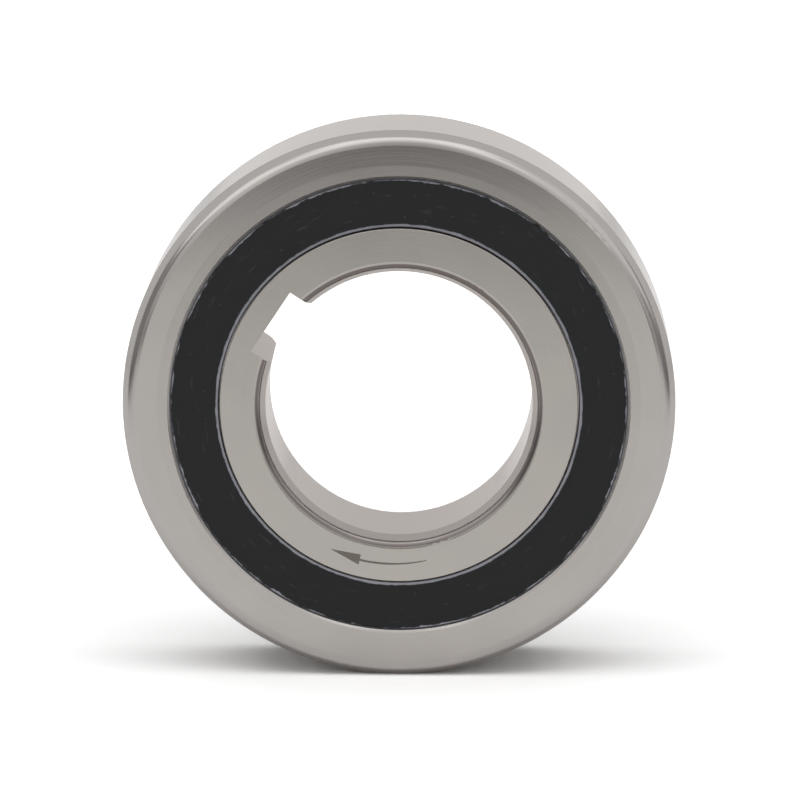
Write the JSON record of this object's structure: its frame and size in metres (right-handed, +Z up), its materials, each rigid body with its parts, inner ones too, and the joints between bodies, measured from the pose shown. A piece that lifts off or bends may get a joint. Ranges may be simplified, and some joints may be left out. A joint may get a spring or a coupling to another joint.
{
  "type": "sprag clutch",
  "caption": "One-way sprag clutch in a ball bearing's envelope: keyed steel inner ring, plain outer ring, black dust shields, and a ball row beside a row of tilting sprags.",
  "frame": {"origin": "centre of the bore, halfway between the two side faces", "axes": "+Y along the shaft axis from the marked front face to the rear face, +Z up with the ring standing on its rim, +X to the right as seen from the front"},
  "size_m": [0.062, 0.016, 0.062],
  "materials": {
    "ring_steel": "ground bearing steel, satin",
    "shield_black": "matte black coated sheet steel",
    "ball_steel": "lapped bearing steel, mirror",
    "cage_nylon": "natural polyamide, satin",
    "sprag_steel": "hardened steel, tumbled",
    "cage_steel": "punched sheet steel",
    "spring_steel": "blued spring steel"
  },
  "bodies": {
    "outer": {"outer_ring": "ring_steel", "front_shield": "shield_black", "rear_shield": "shield_black"},
    "inner": {"inner_ring": "ring_steel"},
    "ball_cage": {"ball_cage": "cage_nylon"},
    "ball_01": {"ball_01": "ball_steel"},
    "ball_02": {"ball_02": "ball_steel"},
    "ball_03": {"ball_03": "ball_steel"},
    "ball_04": {"ball_04": "ball_steel"},
    "ball_05": {"ball_05": "ball_steel"},
    "ball_06": {"ball_06": "ball_steel"},
    "ball_07": {"ball_07": "ball_steel"},
    "ball_08": {"ball_08": "ball_steel"},
    "ball_09": {"ball_09": "ball_steel"},
    "sprag_cage": {"sprag_cage": "cage_steel", "energizing_spring": "spring_steel"},
    "sprag_01": {"sprag_01": "sprag_steel"},
    "sprag_02": {"sprag_02": "sprag_steel"},
    "sprag_03": {"sprag_03": "sprag_steel"},
    "sprag_04": {"sprag_04": "sprag_steel"},
    "sprag_05": {"sprag_05": "sprag_steel"},
    "sprag_06": {"sprag_06": "sprag_steel"},
    "sprag_07": {"sprag_07": "sprag_steel"},
    "sprag_08": {"sprag_08": "sprag_steel"},
    "sprag_09": {"sprag_09": "sprag_steel"},
    "sprag_10": {"sprag_10": "sprag_steel"},
    "sprag_11": {"sprag_11": "sprag_steel"},
    "sprag_12": {"sprag_12": "sprag_steel"},
    "sprag_13": {"sprag_13": "sprag_steel"},
    "sprag_14": {"sprag_14": "sprag_steel"},
    "sprag_15": {"sprag_15": "sprag_steel"},
    "sprag_16": {"sprag_16": "sprag_steel"},
    "sprag_17": {"sprag_17": "sprag_steel"},
    "sprag_18": {"sprag_18": "sprag_steel"},
    "sprag_19": {"sprag_19": "sprag_steel"},
    "sprag_20": {"sprag_20": "sprag_steel"}
  },
  "joints": [
    {"name": "inner_ring_spin", "type": "hinge", "parent": "outer", "child": "inner", "pos_m": [0, 0, 0], "axis": [0, 1, 0], "range_deg": [0, 450]},
    {"name": "ball_cage_spin", "type": "hinge", "parent": "outer", "child": "ball_cage", "pos_m": [0, 0, 0], "axis": [0, 1, 0], "range_deg": [0, 192]},
    {"name": "ball_01_roll", "type": "hinge", "parent": "ball_cage", "child": "ball_01", "pos_m": [0, -0.00258, 0.0227], "axis": [0, 1, 0], "range_deg": [-1400, 0]},
    {"name": "ball_02_roll", "type": "hinge", "parent": "ball_cage", "child": "ball_02", "pos_m": [-0.01459, -0.00258, 0.01739], "axis": [0, 1, 0], "range_deg": [-1400, 0]},
    {"name": "ball_03_roll", "type": "hinge", "parent": "ball_cage", "child": "ball_03", "pos_m": [-0.02235, -0.00258, 0.00394], "axis": [0, 1, 0], "range_deg": [-1400, 0]},
    {"name": "ball_04_roll", "type": "hinge", "parent": "ball_cage", "child": "ball_04", "pos_m": [-0.01966, -0.00258, -0.01135], "axis": [0, 1, 0], "range_deg": [-1400, 0]},
    {"name": "ball_05_roll", "type": "hinge", "parent": "ball_cage", "child": "ball_05", "pos_m": [-0.00776, -0.00258, -0.02133], "axis": [0, 1, 0], "range_deg": [-1400, 0]},
    {"name": "ball_06_roll", "type": "hinge", "parent": "ball_cage", "child": "ball_06", "pos_m": [0.00776, -0.00258, -0.02133], "axis": [0, 1, 0], "range_deg": [-1400, 0]},
    {"name": "ball_07_roll", "type": "hinge", "parent": "ball_cage", "child": "ball_07", "pos_m": [0.01966, -0.00258, -0.01135], "axis": [0, 1, 0], "range_deg": [-1400, 0]},
    {"name": "ball_08_roll", "type": "hinge", "parent": "ball_cage", "child": "ball_08", "pos_m": [0.02235, -0.00258, 0.00394], "axis": [0, 1, 0], "range_deg": [-1400, 0]},
    {"name": "ball_09_roll", "type": "hinge", "parent": "ball_cage", "child": "ball_09", "pos_m": [0.01459, -0.00258, 0.01739], "axis": [0, 1, 0], "range_deg": [-1400, 0]},
    {"name": "sprag_cage_creep", "type": "hinge", "parent": "outer", "child": "sprag_cage", "pos_m": [0, 0, 0], "axis": [0, 1, 0], "continuous": true},
    {"name": "sprag_01_tilt", "type": "hinge", "parent": "sprag_cage", "child": "sprag_01", "pos_m": [0, 0.004, 0.0227], "axis": [0, -1, 0], "range_deg": [0, 6]},
    {"name": "sprag_02_tilt", "type": "hinge", "parent": "sprag_cage", "child": "sprag_02", "pos_m": [-0.00702, 0.004, 0.02159], "axis": [0, -1, 0], "range_deg": [0, 6]},
    {"name": "sprag_03_tilt", "type": "hinge", "parent": "sprag_cage", "child": "sprag_03", "pos_m": [-0.01334, 0.004, 0.01836], "axis": [0, -1, 0], "range_deg": [0, 6]},
    {"name": "sprag_04_tilt", "type": "hinge", "parent": "sprag_cage", "child": "sprag_04", "pos_m": [-0.01836, 0.004, 0.01334], "axis": [0, -1, 0], "range_deg": [0, 6]},
    {"name": "sprag_05_tilt", "type": "hinge", "parent": "sprag_cage", "child": "sprag_05", "pos_m": [-0.02159, 0.004, 0.00702], "axis": [0, -1, 0], "range_deg": [0, 6]},
    {"name": "sprag_06_tilt", "type": "hinge", "parent": "sprag_cage", "child": "sprag_06", "pos_m": [-0.0227, 0.004, 0], "axis": [0, -1, 0], "range_deg": [0, 6]},
    {"name": "sprag_07_tilt", "type": "hinge", "parent": "sprag_cage", "child": "sprag_07", "pos_m": [-0.02159, 0.004, -0.00702], "axis": [0, -1, 0], "range_deg": [0, 6]},
    {"name": "sprag_08_tilt", "type": "hinge", "parent": "sprag_cage", "child": "sprag_08", "pos_m": [-0.01836, 0.004, -0.01334], "axis": [0, -1, 0], "range_deg": [0, 6]},
    {"name": "sprag_09_tilt", "type": "hinge", "parent": "sprag_cage", "child": "sprag_09", "pos_m": [-0.01334, 0.004, -0.01836], "axis": [0, -1, 0], "range_deg": [0, 6]},
    {"name": "sprag_10_tilt", "type": "hinge", "parent": "sprag_cage", "child": "sprag_10", "pos_m": [-0.00702, 0.004, -0.02159], "axis": [0, -1, 0], "range_deg": [0, 6]},
    {"name": "sprag_11_tilt", "type": "hinge", "parent": "sprag_cage", "child": "sprag_11", "pos_m": [0, 0.004, -0.0227], "axis": [0, -1, 0], "range_deg": [0, 6]},
    {"name": "sprag_12_tilt", "type": "hinge", "parent": "sprag_cage", "child": "sprag_12", "pos_m": [0.00702, 0.004, -0.02159], "axis": [0, -1, 0], "range_deg": [0, 6]},
    {"name": "sprag_13_tilt", "type": "hinge", "parent": "sprag_cage", "child": "sprag_13", "pos_m": [0.01334, 0.004, -0.01836], "axis": [0, -1, 0], "range_deg": [0, 6]},
    {"name": "sprag_14_tilt", "type": "hinge", "parent": "sprag_cage", "child": "sprag_14", "pos_m": [0.01836, 0.004, -0.01334], "axis": [0, -1, 0], "range_deg": [0, 6]},
    {"name": "sprag_15_tilt", "type": "hinge", "parent": "sprag_cage", "child": "sprag_15", "pos_m": [0.02159, 0.004, -0.00702], "axis": [0, -1, 0], "range_deg": [0, 6]},
    {"name": "sprag_16_tilt", "type": "hinge", "parent": "sprag_cage", "child": "sprag_16", "pos_m": [0.0227, 0.004, 0], "axis": [0, -1, 0], "range_deg": [0, 6]},
    {"name": "sprag_17_tilt", "type": "hinge", "parent": "sprag_cage", "child": "sprag_17", "pos_m": [0.02159, 0.004, 0.00702], "axis": [0, -1, 0], "range_deg": [0, 6]},
    {"name": "sprag_18_tilt", "type": "hinge", "parent": "sprag_cage", "child": "sprag_18", "pos_m": [0.01836, 0.004, 0.01334], "axis": [0, -1, 0], "range_deg": [0, 6]},
    {"name": "sprag_19_tilt", "type": "hinge", "parent": "sprag_cage", "child": "sprag_19", "pos_m": [0.01334, 0.004, 0.01836], "axis": [0, -1, 0], "range_deg": [0, 6]},
    {"name": "sprag_20_tilt", "type": "hinge", "parent": "sprag_cage", "child": "sprag_20", "pos_m": [0.00702, 0.004, 0.02159], "axis": [0, -1, 0], "range_deg": [0, 6]}
  ],
  "couplings": [
    {"joint": "ball_cage_spin", "follows": "inner_ring_spin", "ratio": 0.42132},
    {"joint": "ball_01_roll", "follows": "inner_ring_spin", "ratio": -3.0988},
    {"joint": "ball_02_roll", "follows": "inner_ring_spin", "ratio": -3.0988},
    {"joint": "ball_03_roll", "follows": "inner_ring_spin", "ratio": -3.0988},
    {"joint": "ball_04_roll", "follows": "inner_ring_spin", "ratio": -3.0988},
    {"joint": "ball_05_roll", "follows": "inner_ring_spin", "ratio": -3.0988},
    {"joint": "ball_06_roll", "follows": "inner_ring_spin", "ratio": -3.0988},
    {"joint": "ball_07_roll", "follows": "inner_ring_spin", "ratio": -3.0988},
    {"joint": "ball_08_roll", "follows": "inner_ring_spin", "ratio": -3.0988},
    {"joint": "ball_09_roll", "follows": "inner_ring_spin", "ratio": -3.0988},
    {"joint": "sprag_02_tilt", "follows": "sprag_01_tilt", "ratio": 1},
    {"joint": "sprag_03_tilt", "follows": "sprag_01_tilt", "ratio": 1},
    {"joint": "sprag_04_tilt", "follows": "sprag_01_tilt", "ratio": 1},
    {"joint": "sprag_05_tilt", "follows": "sprag_01_tilt", "ratio": 1},
    {"joint": "sprag_06_tilt", "follows": "sprag_01_tilt", "ratio": 1},
    {"joint": "sprag_07_tilt", "follows": "sprag_01_tilt", "ratio": 1},
    {"joint": "sprag_08_tilt", "follows": "sprag_01_tilt", "ratio": 1},
    {"joint": "sprag_09_tilt", "follows": "sprag_01_tilt", "ratio": 1},
    {"joint": "sprag_10_tilt", "follows": "sprag_01_tilt", "ratio": 1},
    {"joint": "sprag_11_tilt", "follows": "sprag_01_tilt", "ratio": 1},
    {"joint": "sprag_12_tilt", "follows": "sprag_01_tilt", "ratio": 1},
    {"joint": "sprag_13_tilt", "follows": "sprag_01_tilt", "ratio": 1},
    {"joint": "sprag_14_tilt", "follows": "sprag_01_tilt", "ratio": 1},
    {"joint": "sprag_15_tilt", "follows": "sprag_01_tilt", "ratio": 1},
    {"joint": "sprag_16_tilt", "follows": "sprag_01_tilt", "ratio": 1},
    {"joint": "sprag_17_tilt", "follows": "sprag_01_tilt", "ratio": 1},
    {"joint": "sprag_18_tilt", "follows": "sprag_01_tilt", "ratio": 1},
    {"joint": "sprag_19_tilt", "follows": "sprag_01_tilt", "ratio": 1},
    {"joint": "sprag_20_tilt", "follows": "sprag_01_tilt", "ratio": 1}
  ]
}
